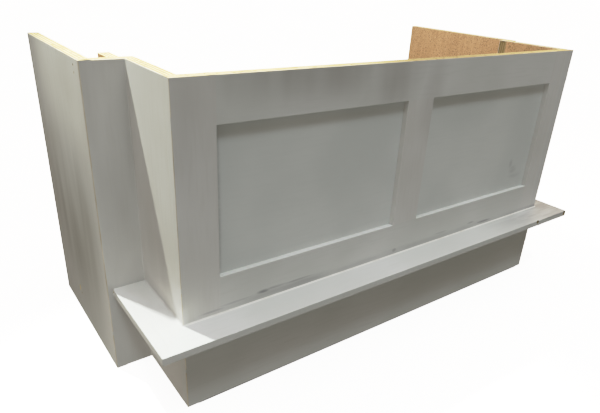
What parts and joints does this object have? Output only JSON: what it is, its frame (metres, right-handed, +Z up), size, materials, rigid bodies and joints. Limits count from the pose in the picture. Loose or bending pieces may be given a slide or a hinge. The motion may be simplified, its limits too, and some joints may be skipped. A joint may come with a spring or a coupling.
{
  "type": "wooden range hood cover",
  "caption": "Painted wooden cover for a range hood: framed box front with recessed panels over a wrap-round ledge and flat apron, set-back wings to the wall, inner rails and insert shelf",
  "frame": {"origin": "centre of the overall width and depth, on the bottom edge on which the cover stands", "axes": "+X to the right along the front, +Y from the front to the wall, +Z up"},
  "size_m": [1.027, 0.532, 0.5285],
  "materials": {
    "painted_board": "satin off-white paint on the show faces, raw pale edges and tan inside faces",
    "raw_plywood": "raw sanded plywood",
    "pine": "raw planed softwood",
    "zinc_steel": "zinc plated"
  },
  "bodies": {
    "root": {"front_stile_left": "painted_board", "front_stile_right": "painted_board", "front_stile_centre": "painted_board", "front_rail_bottom": "painted_board", "front_rail_top": "painted_board", "front_panel_left": "painted_board", "front_panel_right": "painted_board", "ledge_front": "painted_board", "ledge_return_left": "painted_board", "ledge_return_right": "painted_board", "apron_board": "painted_board", "box_side_left": "painted_board", "box_side_right": "painted_board", "step_panel_left": "painted_board", "step_panel_right": "painted_board", "wing_side_left": "painted_board", "wing_side_right": "painted_board", "corner_return_left": "raw_plywood", "insert_shelf": "raw_plywood", "wall_rail_lower": "pine", "wall_rail_upper": "pine", "corner_block_front_left": "pine", "corner_block_front_right": "pine", "corner_block_step_left": "pine", "corner_block_step_right": "pine", "shelf_cleat_front": "pine", "shelf_cleat_rear": "pine", "shelf_cleat_left": "pine", "shelf_cleat_right": "pine", "front_left_front_screw_1": "zinc_steel", "front_left_front_screw_2": "zinc_steel", "front_left_side_screw_1": "zinc_steel", "front_left_side_screw_2": "zinc_steel", "front_right_front_screw_1": "zinc_steel", "front_right_front_screw_2": "zinc_steel", "front_right_side_screw_1": "zinc_steel", "front_right_side_screw_2": "zinc_steel", "step_left_front_screw_1": "zinc_steel", "step_left_front_screw_2": "zinc_steel", "step_left_side_screw_1": "zinc_steel", "step_left_side_screw_2": "zinc_steel", "step_right_front_screw_1": "zinc_steel", "step_right_front_screw_2": "zinc_steel", "step_right_side_screw_1": "zinc_steel", "step_right_side_screw_2": "zinc_steel", "return_screw_1": "zinc_steel", "return_screw_2": "zinc_steel", "cleat_front_screw_1": "zinc_steel", "cleat_front_screw_2": "zinc_steel", "cleat_left_screw_1": "zinc_steel", "cleat_left_screw_2": "zinc_steel", "cleat_right_screw_1": "zinc_steel", "cleat_right_screw_2": "zinc_steel", "cleat_rear_screw_1": "zinc_steel", "cleat_rear_screw_2": "zinc_steel", "shelf_screw_1": "zinc_steel", "shelf_screw_2": "zinc_steel", "shelf_screw_3": "zinc_steel", "shelf_screw_4": "zinc_steel"}
  },
  "joints": []
}
